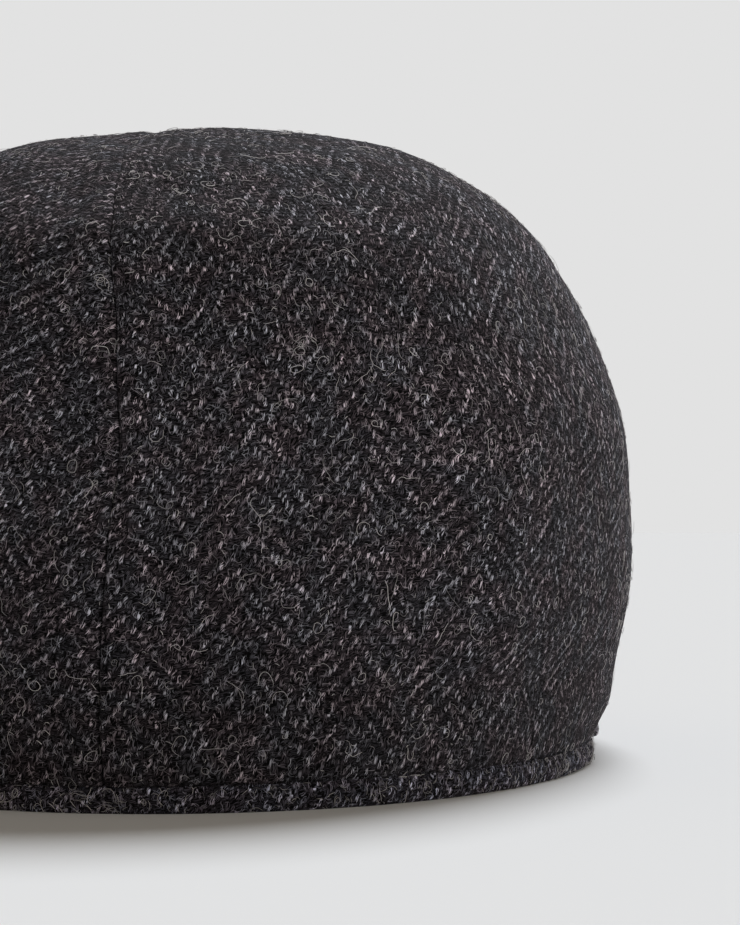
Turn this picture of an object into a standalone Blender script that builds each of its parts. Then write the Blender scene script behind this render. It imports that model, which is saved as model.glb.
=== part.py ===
"""Flat cap in herringbone tweed: two crown halves, a turned rim band and a stiff peak.

Metres, +Z up. The peak points along -Y, the centre seam lies in the plane X = 0, and the rim band
stands on Z = 0. The sizes below are in millimetres, with Y counted from the middle of the head
opening, and MM and ORIGIN_Y turn them into world coordinates.
"""
from collections import namedtuple
from math import asin, atan2, cos, pi, radians, sin, sqrt

import bmesh
import bpy

MM = 0.001

# Driving sizes
CLOTH = 2.0
GAP = 0.3
RIM_HALF_WIDTH = 77.2
RIM_BACK = 104.0
RIM_FRONT = -100.0
HEM_HEIGHT = 5.0
HEM_THICKNESS = 3.2
FRONT_RISE = 18.0
RISE_START = radians(95)

PEAK_HALF_WIDTH = 86.0
PEAK_FRONT = -153.0
PEAK_THICKNESS = 3.6
PEAK_CLEARANCE = 1.7
PEAK_EDGE_RADIUS = 1.1
PEAK_CORNER = radians(106)
PEAK_FULL = radians(130)
PEAK_CORNER_REACH = 0.25
PEAK_TOP_BELOW_HEM = 0.7
PEAK_TIP_TOP = 14.0
PEAK_SIDE_TOP = 4.0
PEAK_CAMBER = 1.6

SEAM_GAP = 0.4
SEAM_DEPTH = 1.2
SEAM_FOLD = 2.4
WIDEST_FOLD = 0.5
SEAM_CENTRE_Y = -6.0
SEAM_CENTRE_Z = 40.0
TUCK_END = radians(126)
TUCK_FOLD = 0.15
RIM_LEVELS_END = 2.5
DOME_LEVELS_START = 6.0

# Mesh density and tolerances
COLUMNS = 24
ROW_STEPS = 2
RIM_SEGMENTS = 72
PEAK_COLUMNS = 32
PEAK_ROWS = 7
WELD = 0.02
EDGE_ANGLE = radians(50)
REACH_SEARCH = (-0.5, 1.5)
HALVINGS = 24

# One row for each level of the crown, hem to top. The back, side and front are where the level
# crosses the seam at the back, the widest point and the seam at the front. A tucked level turns
# under in front and lies on the peak.
Level = namedtuple("Level", "back side front back_z side_z front_z tucked")
CROWN_LEVELS = (
    Level(103.4, 76.8, -100.4, 5.3, 5.3, 23.3, 1),
    Level(105.4, 80.0, -114.0, 12.4, 11.8, 18.0, 1),
    Level(103.7, 81.8, -128.0, 21.4, 20.6, 17.0, 1),
    Level(104.2, 84.2, -131.5, 36.0, 34.5, 28.0, 0),
    Level(100.8, 84.7, -128.0, 56.0, 52.5, 42.5, 0),
    Level(96.2, 82.7, -118.5, 78.8, 71.0, 59.5, 0),
    Level(88.8, 76.0, -101.0, 98.3, 90.3, 78.0, 0),
    Level(74.0, 63.0, -77.0, 111.7, 108.0, 95.5, 0),
    Level(52.0, 44.2, -49.0, 120.2, 120.0, 109.0, 0),
    Level(28.7, 22.0, -19.0, 125.1, 124.3, 119.5, 0),
    Level(4.7, 0.0, 4.7, 126.7, 126.7, 126.7, 0),
)

# Section of the rim band, outwards from the rim line and up from its bottom face.
HemPoint = namedtuple("HemPoint", "out up")
HEM_SECTION = (
    HemPoint(-2.7, 0.0),
    HemPoint(-0.5, 0.0),
    HemPoint(0.0, 0.8),
    HemPoint(0.2, 2.4),
    HemPoint(-0.1, 4.0),
    HemPoint(-0.8, HEM_HEIGHT),
    HemPoint(-2.8, HEM_HEIGHT),
    HemPoint(-HEM_THICKNESS, 4.2),
    HemPoint(-HEM_THICKNESS, 0.7),
)

BACK_BULGE = max(level.back for level in CROWN_LEVELS)
ORIGIN_Y = -(BACK_BULGE + PEAK_FRONT) / 2

CLOTH_COLOUR = (0.017, 0.016, 0.018, 1.0)
RIM_COLOUR = (0.014, 0.013, 0.015, 1.0)
PEAK_COLOUR = (0.015, 0.014, 0.016, 1.0)


def clamp(value):
    """Keep a share between 0 and 1."""
    return min(max(value, 0.0), 1.0)


def smoothstep(low, high, value):
    """Ease from 0 at low to 1 at high."""
    t = clamp((value - low) / (high - low))
    return t * t * (3 - 2 * t)


def mix(a, b, t):
    """Go from a to b as t goes from 0 to 1."""
    return a + (b - a) * t


def from_back(turn):
    """Turn from the back seam, 0 to pi, of a turn counted all the way round."""
    return turn if turn <= pi else 2 * pi - turn


def front_share(turn):
    """Share of the front sizes at a turn from the back seam, 0 to pi."""
    return smoothstep(RISE_START, pi, turn)


def rim_rise(turn):
    """Height of the rim's bottom above the ground."""
    return FRONT_RISE * front_share(turn)


def oval(half_width, back, front, turn):
    """Point of the oval through back and front, at a turn from the back, on the +X side."""
    centre, half_length = (back + front) / 2, (back - front) / 2
    return half_width * sin(turn), centre + half_length * cos(turn)


def peak_oval(reach):
    """Half width, back and front of the peak's oval, from its inner edge (0) to its rim (1)."""
    return (mix(RIM_HALF_WIDTH + PEAK_CLEARANCE, PEAK_HALF_WIDTH, reach), RIM_BACK,
            mix(RIM_FRONT - PEAK_CLEARANCE, PEAK_FRONT, reach))


def peak_top(turn, reach):
    """Height of the peak's upper face."""
    inner = rim_rise(turn) + HEM_HEIGHT - PEAK_TOP_BELOW_HEM
    outer = mix(PEAK_SIDE_TOP, PEAK_TIP_TOP, front_share(turn))
    camber = PEAK_CAMBER * front_share(turn) * 4 * reach * (1 - reach)
    return mix(inner, outer, reach) + camber


def peak_coordinates(x, y):
    """Turn and reach of the point of the peak's plan below x, y, found by halving."""
    low, high = REACH_SEARCH
    for _ in range(HALVINGS):
        reach = (low + high) / 2
        half_width, back, front = peak_oval(reach)
        across, along = x / half_width, (y - (back + front) / 2) / ((back - front) / 2)
        if across * across + along * along > 1:
            low = reach
        else:
            high = reach
    return atan2(across, along), reach


def level_at(position):
    """Crown level between the rows of the table, by a Catmull-Rom curve through them."""
    last = len(CROWN_LEVELS) - 1
    index = min(int(position), last - 1)
    t = position - index
    before = CROWN_LEVELS[max(index - 1, 0)]
    start, end = CROWN_LEVELS[index], CROWN_LEVELS[index + 1]
    after = CROWN_LEVELS[min(index + 2, last)]
    values = []
    for p0, p1, p2, p3 in zip(before, start, end, after):
        curve = (p2 - p0) * t + (2 * p0 - 5 * p1 + 4 * p2 - p3) * t * t
        values.append(p1 + (curve + (3 * p1 - p0 - 3 * p2 + p3) * t ** 3) / 2)
    return Level(*values)


def crown_height(level, position, turn):
    """Height of a level: it follows the rim's rise low down and is a smooth dome higher up."""
    back_share, front = max(cos(turn), 0.0) ** 2, front_share(turn)
    low = level.back_z * back_share + level.front_z * front
    low += level.side_z * (1 - back_share - front)
    even = (level.back_z + level.front_z) / 2 - level.side_z
    odd = (level.back_z - level.front_z) / 2
    dome = level.side_z + even * cos(turn) ** 2 + odd * cos(turn)
    return mix(low, dome, smoothstep(RIM_LEVELS_END, DOME_LEVELS_START, position))


def crown_point(position, turn):
    """Point of the crown's outer face on the +X side, resting on the peak in front."""
    level = level_at(position)
    x, y = oval(level.side, level.back, level.front, turn)
    z = crown_height(level, position, turn)
    if turn > PEAK_CORNER:
        peak_turn, reach = peak_coordinates(x, y)
        seat = peak_top(peak_turn, clamp(reach)) + GAP
        if reach > 0:
            tuck = clamp(level.tucked) * smoothstep(PEAK_CORNER, TUCK_END, turn)
            z = max(mix(z, seat, tuck * smoothstep(0.0, TUCK_FOLD, reach)), seat)
    return x, y, z


def column_turn(column, level):
    """Turn of a crown column; the columns beside the seam keep its fold's width."""
    if column == 0:
        return 0.0
    if column == COLUMNS:
        return pi
    fold = asin(min(SEAM_FOLD / max(level.side, SEAM_FOLD), WIDEST_FOLD))
    return mix(fold, pi - fold, (column - 1) / (COLUMNS - 2))


def seam_dip(y, z, level):
    """Push a point of the seam in towards the middle of the crown, except where it is tucked."""
    depth = SEAM_DEPTH * (1 - clamp(level.tucked) * smoothstep(0, 1, -y))
    away_y, away_z = y - SEAM_CENTRE_Y, max(z - SEAM_CENTRE_Z, 0.0)
    length = max(sqrt(away_y ** 2 + away_z ** 2), 1.0)
    return y - depth * away_y / length, z - depth * away_z / length


def world(x, y, z):
    """World coordinates, in metres, of a point given in millimetres from the rim's middle."""
    return x * MM, (y + ORIGIN_Y) * MM, z * MM


def material(name, colour):
    """Matt woollen cloth of one colour."""
    cloth = bpy.data.materials.new(name)
    cloth.use_nodes = True
    shader = cloth.node_tree.nodes["Principled BSDF"]
    shader.inputs["Base Color"].default_value = colour
    shader.inputs["Roughness"].default_value = 0.92
    shader.inputs["Metallic"].default_value = 0.0
    cloth.diffuse_color = colour
    return cloth


def formed_grid(name, columns, rows, place, collection, finish):
    """Grid primitive whose points are placed by place(column, row), with doubles welded."""
    mesh = bpy.data.meshes.new(name)
    shape = bmesh.new()
    bmesh.ops.create_grid(shape, x_segments=columns, y_segments=rows, size=1.0)
    for vertex in shape.verts:
        column = round((vertex.co.x + 1) / 2 * columns)
        row = round((vertex.co.y + 1) / 2 * rows)
        vertex.co = world(*place(column, row))
    bmesh.ops.remove_doubles(shape, verts=shape.verts, dist=WELD * MM)
    bmesh.ops.dissolve_degenerate(shape, edges=shape.edges, dist=WELD * MM)
    bmesh.ops.recalc_face_normals(shape, faces=shape.faces)
    shape.to_mesh(mesh)
    shape.free()
    mesh.shade_smooth()
    mesh.materials.append(finish)
    piece = bpy.data.objects.new(name, mesh)
    collection.objects.link(piece)
    return piece


def thicken(piece, thickness):
    """Give an open sheet its thickness, downwards from its highest face."""
    if max(piece.data.polygons, key=lambda face: face.center.z).normal.z < 0:
        piece.data.flip_normals()
    wall = piece.modifiers.new("wall", "SOLIDIFY")
    wall.thickness = thickness * MM
    wall.offset = -1
    wall.use_even_offset = False
    wall.use_quality_normals = True


def crown_half(name, side, collection, finish):
    """Half of the crown, on the +X side for side 1 and the -X side for side -1."""
    rows = (len(CROWN_LEVELS) - 1) * ROW_STEPS

    def place(column, row):
        level = level_at(row / ROW_STEPS)
        x, y, z = crown_point(row / ROW_STEPS, column_turn(column, level))
        if column in (0, COLUMNS) or row == rows:
            x = 0.0
            y, z = seam_dip(y, z, level)
        return side * (x + SEAM_GAP / 2), y, z

    piece = formed_grid(name, COLUMNS, rows, place, collection, finish)
    thicken(piece, CLOTH)
    return piece


def rim_band(collection, finish):
    """Closed ring of the hem's section, level at the back and sides and raised in front."""
    points = len(HEM_SECTION)

    def place(column, row):
        turn = 2 * pi * column / RIM_SEGMENTS
        point = HEM_SECTION[row % points]
        x, y = oval(RIM_HALF_WIDTH + point.out, RIM_BACK + point.out, RIM_FRONT - point.out, turn)
        return x, y, rim_rise(from_back(turn)) + point.up

    piece = formed_grid("rim_band", RIM_SEGMENTS, points, place, collection, finish)
    piece.data.set_sharp_from_angle(angle=EDGE_ANGLE)
    return piece


def peak(collection, finish):
    """Crescent from the rim band to the peak's edge, sloping down and forwards."""
    def place(column, row):
        turn = mix(PEAK_CORNER, 2 * pi - PEAK_CORNER, column / PEAK_COLUMNS)
        widest = smoothstep(PEAK_CORNER, PEAK_FULL, from_back(turn))
        reach = mix(PEAK_CORNER_REACH, 1.0, widest) * row / PEAK_ROWS
        x, y = oval(*peak_oval(reach), turn)
        return x, y, peak_top(from_back(turn), reach)

    piece = formed_grid("peak", PEAK_COLUMNS, PEAK_ROWS, place, collection, finish)
    thicken(piece, PEAK_THICKNESS)
    edge = piece.modifiers.new("rounded edge", "BEVEL")
    edge.width = PEAK_EDGE_RADIUS * MM
    edge.segments = 2
    edge.limit_method = "ANGLE"
    edge.angle_limit = EDGE_ANGLE
    return piece


def main():
    """Clear the scene and build the cap's pieces."""
    for old in list(bpy.data.objects):
        bpy.data.objects.remove(old, do_unlink=True)
    collection = bpy.data.collections.new("flat_cap")
    bpy.context.scene.collection.children.link(collection)
    cloth = material("crown tweed", CLOTH_COLOUR)
    crown_half("crown_left", 1, collection, cloth)
    crown_half("crown_right", -1, collection, cloth)
    rim_band(collection, material("rim tweed", RIM_COLOUR))
    peak(collection, material("peak tweed", PEAK_COLOUR))


main()
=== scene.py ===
"""Flat cap in dark herringbone tweed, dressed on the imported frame.

The crown is two halves of cloth joined by a centre seam, which stand on a turned rim band, with a
short peak under the front. Sizes are in millimetres, with Y counted from the middle of the head
opening; MM and the form's origin turn them into world coordinates.
"""
import logging
import math
from dataclasses import dataclass, field, replace
from enum import Enum
from typing import NamedTuple

import bmesh
import bpy
import numpy as np
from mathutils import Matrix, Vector


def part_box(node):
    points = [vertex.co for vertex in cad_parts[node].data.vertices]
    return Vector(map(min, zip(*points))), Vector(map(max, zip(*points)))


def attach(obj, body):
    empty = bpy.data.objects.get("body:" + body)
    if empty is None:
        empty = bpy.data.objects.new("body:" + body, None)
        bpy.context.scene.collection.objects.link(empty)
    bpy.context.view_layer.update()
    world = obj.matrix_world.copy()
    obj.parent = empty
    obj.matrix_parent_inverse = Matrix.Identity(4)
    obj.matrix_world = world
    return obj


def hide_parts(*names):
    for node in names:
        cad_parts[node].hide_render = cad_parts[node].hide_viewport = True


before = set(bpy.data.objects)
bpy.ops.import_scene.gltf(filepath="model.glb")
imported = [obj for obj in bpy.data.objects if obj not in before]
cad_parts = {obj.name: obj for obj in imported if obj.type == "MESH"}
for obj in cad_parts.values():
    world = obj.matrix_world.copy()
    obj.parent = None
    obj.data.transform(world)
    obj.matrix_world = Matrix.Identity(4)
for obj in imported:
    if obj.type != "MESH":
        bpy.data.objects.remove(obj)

Array = np.ndarray
Socket = bpy.types.NodeSocket

log = logging.getLogger("flat_cap")
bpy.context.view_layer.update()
MM = 0.001
CLOTH_UV = "cloth"
ROOT = "root"
CURL_MARK = 2.0
CURL_LIMIT = 1.5
WELD_DISTANCE = 2e-6
LEAST_EDGE = 1e-7


class Half(Enum):
    """The two halves of the crown, by the side of the centre seam that they lie on."""

    LEFT = 1
    RIGHT = -1


class Lay(Enum):
    """How a stray fibre lies: a curled loop, a long bent hair, or short nap."""

    CURL = "curl"
    HAIR = "hair"
    NAP = "nap"


class Level(NamedTuple):
    """Level of the crown: where it crosses the back seam, the side and the front seam."""

    back: float
    side: float
    front: float
    back_z: float
    side_z: float
    front_z: float
    tucked: float


class HemPoint(NamedTuple):
    """Point of the rim band's section, outwards from the rim line and up from its bottom."""

    out: float
    up: float


def clamp(value: Array) -> Array:
    """Keep shares between 0 and 1."""
    return np.clip(value, 0.0, 1.0)


def smoothstep(low: float, high: float, value: Array) -> Array:
    """Ease from 0 at low to 1 at high."""
    t = clamp((value - low) / (high - low))
    return t * t * (3 - 2 * t)


def mix(a: Array, b: Array, t: Array) -> Array:
    """Go from a to b as t goes from 0 to 1."""
    return a + (b - a) * t


def bell(value: Array, centre: float, width: float) -> Array:
    """Bell curve that is 1 at its centre."""
    return np.exp(-((value - centre) / width) ** 2)


def eased_table(value: Array, table: tuple[tuple[float, float], ...]) -> Array:
    """Ease from each row of a table to the next.

    Args:
        value: Where to read the table.
        table: Rows of a place and the result there, in rising order.

    Returns:
        The results.
    """
    result = np.full(np.shape(value), float(table[0][1]))
    for (low, start), (high, end) in zip(table, table[1:]):
        result = result + (end - start) * smoothstep(low, high, value)
    return result


def catmull_rom(p0: Array, p1: Array, p2: Array, p3: Array, t: Array) -> Array:
    """Go from p1 to p2 on a smooth curve through four knots.

    Args:
        p0: The knot before the curve.
        p1: The knot where the curve starts.
        p2: The knot where it ends.
        p3: The knot after it.
        t: Place on the curve, 0 to 1.

    Returns:
        The point there.
    """
    curve = (p2 - p0) * t + (2 * p0 - 5 * p1 + 4 * p2 - p3) * t ** 2
    return p1 + (curve + (3 * p1 - p0 - 3 * p2 + p3) * t ** 3) / 2


def unit(vectors: Array) -> Array:
    """Scale vectors to length 1."""
    return vectors / np.maximum(np.linalg.norm(vectors, axis=-1, keepdims=True), 1e-9)


def numbered(rows: int, columns: int) -> Array:
    """Numbers of a grid's points, row by row."""
    return np.arange(rows * columns).reshape(rows, columns)


@dataclass(frozen=True)
class CapForm:
    """Driving sizes of the cap, the same as the solids', and the surfaces that follow from them."""

    cloth: float = 2.0
    gap: float = 0.3
    rim_half_width: float = 77.2
    rim_back: float = 104.0
    rim_front: float = -100.0
    hem_height: float = 5.0
    front_rise: float = 18.0
    rise_start: float = math.radians(95)
    peak_half_width: float = 86.0
    peak_front: float = -153.0
    peak_thickness: float = 3.6
    peak_clearance: float = 1.7
    peak_corner: float = math.radians(106)
    peak_full: float = math.radians(130)
    peak_corner_reach: float = 0.25
    peak_top_below_hem: float = 0.7
    peak_tip_top: float = 14.0
    peak_side_top: float = 4.0
    peak_camber: float = 1.6
    tuck_end: float = math.radians(126)
    tuck_fold: float = 0.15
    reach_limits: tuple[float, float] = (-0.5, 1.5)
    halvings: int = 24
    rim_levels_end: float = 2.5
    dome_levels_start: float = 6.0
    levels: tuple[Level, ...] = (
        Level(103.4, 76.8, -100.4, 5.3, 5.3, 23.3, 1),
        Level(105.4, 80.0, -114.0, 12.4, 11.8, 18.0, 1),
        Level(103.7, 81.8, -128.0, 21.4, 20.6, 17.0, 1),
        Level(104.2, 84.2, -131.5, 36.0, 34.5, 28.0, 0),
        Level(100.8, 84.7, -128.0, 56.0, 52.5, 42.5, 0),
        Level(96.2, 82.7, -118.5, 78.8, 71.0, 59.5, 0),
        Level(88.8, 76.0, -101.0, 98.3, 90.3, 78.0, 0),
        Level(74.0, 63.0, -77.0, 111.7, 108.0, 95.5, 0),
        Level(52.0, 44.2, -49.0, 120.2, 120.0, 109.0, 0),
        Level(28.7, 22.0, -19.0, 125.1, 124.3, 119.5, 0),
        Level(4.7, 0.0, 4.7, 126.7, 126.7, 126.7, 0),
    )

    @property
    def top(self) -> int:
        """Position of the highest level."""
        return len(self.levels) - 1

    @property
    def origin_y(self) -> float:
        """World Y that lies at Y = 0 of the form, in millimetres, from the frame's rim band."""
        low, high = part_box("rim_band")
        return (low[1] + high[1]) / 2 / MM - (self.rim_back + self.rim_front) / 2

    def world(self, points: Array) -> Array:
        """World coordinates, in metres, of points given in millimetres."""
        return (points + np.array((0.0, self.origin_y, 0.0))) * MM

    def front_share(self, turn: Array) -> Array:
        """Share of the front sizes at a turn from the back seam, 0 to pi."""
        return smoothstep(self.rise_start, math.pi, turn)

    def rim_rise(self, turn: Array) -> Array:
        """Height of the rim's bottom above the ground."""
        return self.front_rise * self.front_share(turn)

    @staticmethod
    def oval(half_width: Array, back: Array, front: Array, turn: Array) -> tuple[Array, Array]:
        """X and Y of an oval through back and front, at a turn from the back."""
        centre, half_length = (back + front) / 2, (back - front) / 2
        return half_width * np.sin(turn), centre + half_length * np.cos(turn)

    def peak_oval(self, reach: Array) -> tuple[Array, float, Array]:
        """Size of an oval of the peak's plan.

        Args:
            reach: Place of the oval, from the peak's inner edge (0) to its rim (1).

        Returns:
            The oval's half width, back and front.
        """
        inner_width = self.rim_half_width + self.peak_clearance
        inner_front = self.rim_front - self.peak_clearance
        return (mix(inner_width, self.peak_half_width, reach), self.rim_back,
                mix(inner_front, self.peak_front, reach))

    def peak_top(self, turn: Array, reach: Array) -> Array:
        """Height of the peak's upper face.

        Args:
            turn: Turn from the back seam, 0 to pi.
            reach: Place between the peak's inner edge (0) and its rim (1).

        Returns:
            The height in millimetres.
        """
        inner = self.rim_rise(turn) + self.hem_height - self.peak_top_below_hem
        outer = mix(self.peak_side_top, self.peak_tip_top, self.front_share(turn))
        camber = self.peak_camber * self.front_share(turn) * 4 * reach * (1 - reach)
        return mix(inner, outer, reach) + camber

    def peak_coordinates(self, x: Array, y: Array) -> tuple[Array, Array]:
        """Find the place on the peak's plan of points seen from above, by halving.

        Args:
            x: The points' X.
            y: The points' Y.

        Returns:
            Their turns and reaches.
        """
        low, high = (np.full(x.shape, end) for end in self.reach_limits)
        for _ in range(self.halvings):
            reach = (low + high) / 2
            half_width, back, front = self.peak_oval(reach)
            across, along = x / half_width, (y - (back + front) / 2) / ((back - front) / 2)
            outside = across ** 2 + along ** 2 > 1
            low = np.where(outside, reach, low)
            high = np.where(outside, high, reach)
        return np.arctan2(across, along), reach

    def level_values(self, position: Array) -> Array:
        """Values of the crown's table at positions between its rows.

        Args:
            position: Positions, counted in rows.

        Returns:
            The values, in the order of a Level.
        """
        table = np.array(self.levels)
        index = np.minimum(position.astype(int), self.top - 1)
        t = (position - index)[..., None]
        before, after = np.maximum(index - 1, 0), np.minimum(index + 2, self.top)
        return catmull_rom(table[before], table[index], table[index + 1], table[after], t)

    def crown_height(self, level: Level, position: Array, turn: Array) -> Array:
        """Height of a level: it follows the rim's rise low down and is a dome higher up.

        Args:
            level: The level's sizes.
            position: Its position in the table of levels.
            turn: Turn from the back seam, 0 to pi.

        Returns:
            The height in millimetres.
        """
        back_share, front = np.maximum(np.cos(turn), 0.0) ** 2, self.front_share(turn)
        low = level.back_z * back_share + level.front_z * front
        low = low + level.side_z * (1 - back_share - front)
        even = (level.back_z + level.front_z) / 2 - level.side_z
        odd = (level.back_z - level.front_z) / 2
        dome = level.side_z + even * np.cos(turn) ** 2 + odd * np.cos(turn)
        share = smoothstep(self.rim_levels_end, self.dome_levels_start, position)
        return mix(low, dome, share)

    def crown_points(self, position: Array, turn: Array) -> Array:
        """Points of the crown's outer face on the +X side, resting on the peak in front.

        Args:
            position: Position of each point in the table of levels.
            turn: Turn of each point from the back seam, 0 to pi.

        Returns:
            The points, in millimetres.
        """
        level = Level(*np.moveaxis(self.level_values(position), -1, 0))
        x, y = self.oval(level.side, level.back, level.front, turn)
        z = self.crown_height(level, position, turn)
        peak_turn, reach = self.peak_coordinates(x, y)
        seat = self.peak_top(peak_turn, clamp(reach)) + self.gap
        tuck = clamp(level.tucked) * smoothstep(self.peak_corner, self.tuck_end, turn)
        seated = np.maximum(mix(z, seat, tuck * smoothstep(0.0, self.tuck_fold, reach)), seat)
        z = np.where((turn > self.peak_corner) & (reach > 0), seated, z)
        return np.stack((x, y, z), axis=-1)


@dataclass(frozen=True)
class SoftNoise:
    """Smooth random relief on a lattice of seeded values, for lumps that cloth has."""

    size: float
    seed: int

    def __call__(self, points: Array) -> Array:
        """Noise between about -1 and 1.

        Args:
            points: Points in millimetres; lumps are about one size across.

        Returns:
            One value for each point.
        """
        lattice = np.random.default_rng(self.seed).uniform(-1, 1, (32, 32, 32))
        place = points / self.size + 1000.0
        cell = np.floor(place).astype(int)
        share = place - cell
        share = share * share * (3 - 2 * share)
        total = np.zeros(points.shape[:-1])
        for corner in np.ndindex(2, 2, 2):
            weight = np.prod(np.where(corner, share, 1 - share), axis=-1)
            i, j, k = np.moveaxis((cell + corner) % 32, -1, 0)
            total += weight * lattice[i, j, k]
        return total


@dataclass
class Sheet:
    """Grid of surface points in millimetres, with its outward normals and flat cloth coordinates."""

    points: Array
    cloth: Array
    flip: bool = False
    pole: bool = False
    normals: Array = field(init=False)

    def __post_init__(self) -> None:
        """Work the normals out from the grid."""
        self.refresh()

    def refresh(self) -> None:
        """Work the normals out again after the points have moved."""
        if self.pole:
            self.points[-1] = self.points[-1].mean(axis=0)
        along, across = (np.gradient(self.points, axis=axis) for axis in (0, 1))
        self.normals = unit(np.cross(across, along)) * (-1.0 if self.flip else 1.0)
        if self.pole:
            self.normals[-1] = unit(self.normals[-2].mean(axis=0))

    def push(self, distance: Array) -> None:
        """Move every point outwards by its distance, in millimetres."""
        self.points = self.points + self.normals * distance[..., None]
        self.refresh()

    def mirrored(self) -> "Sheet":
        """The same sheet on the other side of the centre seam."""
        return Sheet(self.points * (-1.0, 1.0, 1.0), self.cloth * (-1.0, 1.0), not self.flip, self.pole)

    def sample(self, row: Array, column: Array) -> tuple[Array, Array]:
        """Points and normals between the grid's own; past the side edges the sheet mirrors itself.

        Args:
            row: Fractional rows.
            column: Fractional columns.

        Returns:
            The points and the normals there, in millimetres.
        """
        rows, columns = self.points.shape[:2]
        below = np.minimum(row, 0.0)[:, None]
        row = np.clip(row, 0, rows - 1.001)
        past = column > columns - 1
        over = past | (column < 0)
        column = np.abs(np.where(past, 2 * (columns - 1) - column, column))
        column = np.clip(column, 0, columns - 1.001)
        i, j = row.astype(int), column.astype(int)
        s, t = (row - i)[:, None], (column - j)[:, None]
        place, facing = [
            mix(mix(grid[i, j], grid[i, j + 1], t), mix(grid[i + 1, j], grid[i + 1, j + 1], t), s)
            for grid in (self.points, self.normals)
        ]
        place = place + below * (self.points[1, j] - self.points[0, j])
        edge = self.points[i, np.where(past, columns - 1, 0), 0]
        place[:, 0] = np.where(over, 2 * edge - place[:, 0], place[:, 0])
        facing[:, 0] = np.where(over, -facing[:, 0], facing[:, 0])
        return place, unit(facing)


class MeshParts:
    """Points, flat cloth coordinates and faces that are gathered into one mesh."""

    def __init__(self) -> None:
        """Start with nothing."""
        self.points: list[Array] = []
        self.cloth: list[Array] = []
        self.faces: list[Array] = []
        self.count = 0

    def add(self, points: Array, cloth: Array, faces: list[Array]) -> int:
        """Add points and the faces between them.

        Args:
            points: Points in millimetres, in rows of three.
            cloth: Flat cloth coordinates in millimetres, in rows of two.
            faces: Arrays of faces, whose numbers start from 0 at the first point.

        Returns:
            The number of the first added point.
        """
        start = self.count
        self.points.append(points.reshape(-1, 3))
        self.cloth.append(cloth.reshape(-1, 2))
        self.faces.extend(face + start for face in faces)
        self.count += len(self.points[-1])
        return start

    def build(self, name: str, form: CapForm, finish: bpy.types.Material,
              weld: bool = True) -> bpy.types.Object:
        """Make the mesh object.

        Args:
            name: The piece's name.
            form: The cap's form, which gives the world coordinates.
            finish: The material that dresses the piece.
            weld: Whether points at one place become one.

        Returns:
            The object, smooth shaded, in the scene.
        """
        points = form.world(np.concatenate(self.points))
        cloth = np.concatenate(self.cloth) * MM
        faces = [face for group in self.faces for face in group.tolist()]
        mesh = bpy.data.meshes.new(name)
        mesh.from_pydata(points.tolist(), [], faces)
        corners = np.empty(len(mesh.loops), dtype=np.int64)
        mesh.loops.foreach_get("vertex_index", corners)
        mesh.uv_layers.new(name=CLOTH_UV).data.foreach_set("uv", cloth[corners].ravel())
        mesh.materials.append(finish)
        if weld:
            welded = bmesh.new()
            welded.from_mesh(mesh)
            bmesh.ops.remove_doubles(welded, verts=welded.verts, dist=WELD_DISTANCE)
            bmesh.ops.dissolve_degenerate(welded, edges=welded.edges, dist=LEAST_EDGE)
            welded.to_mesh(mesh)
            welded.free()
        mesh.validate()
        mesh.shade_smooth()
        piece = bpy.data.objects.new(name, mesh)
        bpy.context.scene.collection.objects.link(piece)
        return piece


def grid_faces(numbers: Array, flip: bool) -> Array:
    """Four-sided faces of a grid of point numbers.

    Args:
        numbers: Point numbers in rows and columns.
        flip: Whether the faces turn the other way.

    Returns:
        The faces, four numbers each.
    """
    a, b = numbers[:-1, :-1], numbers[:-1, 1:]
    c, d = numbers[1:, 1:], numbers[1:, :-1]
    order = (a, d, c, b) if flip else (a, b, c, d)
    return np.stack(order, axis=-1).reshape(-1, 4)


def edge_numbers(numbers: Array) -> Array:
    """Point numbers round the edge of a grid, in order, without the first one twice."""
    return np.concatenate((numbers[0, :-1], numbers[:-1, -1], numbers[-1, :0:-1], numbers[:0:-1, 0]))


def joined(*sheets: Sheet) -> MeshParts:
    """Put sheets whose edges lie on each other into one mesh.

    Args:
        sheets: The sheets.

    Returns:
        The mesh's parts, closed once points at one place become one.
    """
    parts = MeshParts()
    for sheet in sheets:
        parts.add(sheet.points, sheet.cloth, [grid_faces(numbered(*sheet.points.shape[:2]), sheet.flip)])
    return parts


def lined_shell(sheet: Sheet, inner: Array, step: int) -> MeshParts:
    """Closed wall between a sheet and its inner face, which has fewer points.

    Args:
        sheet: The outer face.
        inner: Points of the inner face, as many as the sheet's.
        step: The inner face keeps each row and column that is a multiple of this.

    Returns:
        The closed mesh's parts.
    """
    numbers = numbered(*sheet.points.shape[:2])
    parts = joined(sheet)
    kept = inner[::step, ::step]
    inner_numbers = numbered(*kept.shape[:2])
    start = parts.add(kept, sheet.cloth[::step, ::step], [grid_faces(inner_numbers, not sheet.flip)])
    outer_edge, inner_edge = edge_numbers(numbers), edge_numbers(inner_numbers) + start
    strip = []
    for k in range(len(inner_edge)):
        near, far = inner_edge[k], inner_edge[(k + 1) % len(inner_edge)]
        span = [outer_edge[(k * step + j) % len(outer_edge)] for j in range(step + 1)]
        strip += [(span[j + 1], span[j], near) for j in range(step)]
        strip.append((far, span[-1], near))
    fan = np.array(strip)
    parts.faces.append(fan[:, ::-1] if sheet.flip else fan)
    return parts


def new_material(name: str) -> tuple[bpy.types.Material, bpy.types.Node]:
    """Start a material.

    Args:
        name: The material's name.

    Returns:
        The material and its Principled BSDF.
    """
    made = bpy.data.materials.new(name)
    made.use_nodes = True
    return made, made.node_tree.nodes["Principled BSDF"]


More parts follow.
